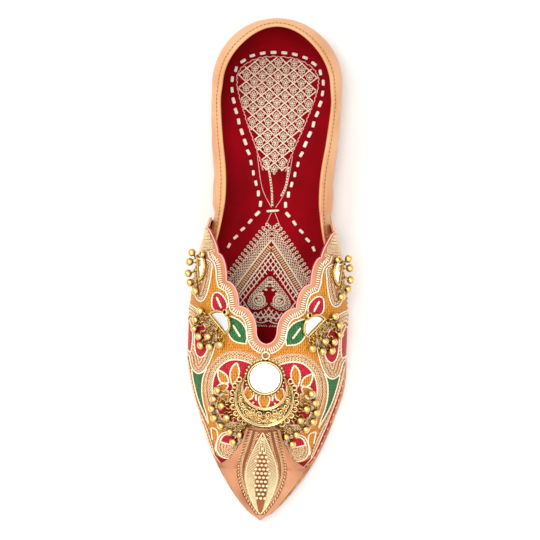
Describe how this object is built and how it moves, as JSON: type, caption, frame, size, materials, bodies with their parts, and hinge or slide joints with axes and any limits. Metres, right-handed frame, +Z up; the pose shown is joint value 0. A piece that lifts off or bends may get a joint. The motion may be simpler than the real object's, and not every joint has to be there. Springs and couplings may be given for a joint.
{
  "type": "mojari shoe",
  "caption": "Slip-on mojari shoe with a pointed leather toe cap, scalloped embroidered vamp, mirror pendant and charms with small metal bells.",
  "frame": {"origin": "on the floor under the middle of the shoe's length and width", "axes": "+Z up, +Y towards the heel, -Y towards the pointed toe, +X to the right as the picture shows the shoe from above"},
  "size_m": [0.0926, 0.274, 0.0562],
  "materials": {
    "sole_leather": "buffed sole leather",
    "quarter_leather": "smooth tan leather with a satin coat",
    "velvet": "dark red velvet",
    "embroidery": "dense silk and metal thread embroidery",
    "cap_leather": "tan leather with stitched bands",
    "brass": "antique gold plating",
    "mirror_glass": "silvered glass"
  },
  "bodies": {
    "root": {"outsole": "sole_leather", "heel": "sole_leather", "insole": "velvet", "upper": "quarter_leather", "vamp": "embroidery", "toe_cap": "cap_leather", "pendant": "brass", "charm_upper_left": "brass", "charm_upper_right": "brass", "charm_lower_left": "brass", "charm_lower_right": "brass", "pendant_mirror": "mirror_glass", "charm_mirror_upper_left": "mirror_glass", "charm_mirror_upper_right": "mirror_glass", "charm_mirror_lower_left": "mirror_glass", "charm_mirror_lower_right": "mirror_glass", "bells_upper_left": "brass", "bells_upper_right": "brass", "bells_lower_left": "brass", "bells_lower_right": "brass", "bells_pendant_left": "brass", "bells_pendant_right": "brass"}
  },
  "joints": []
}
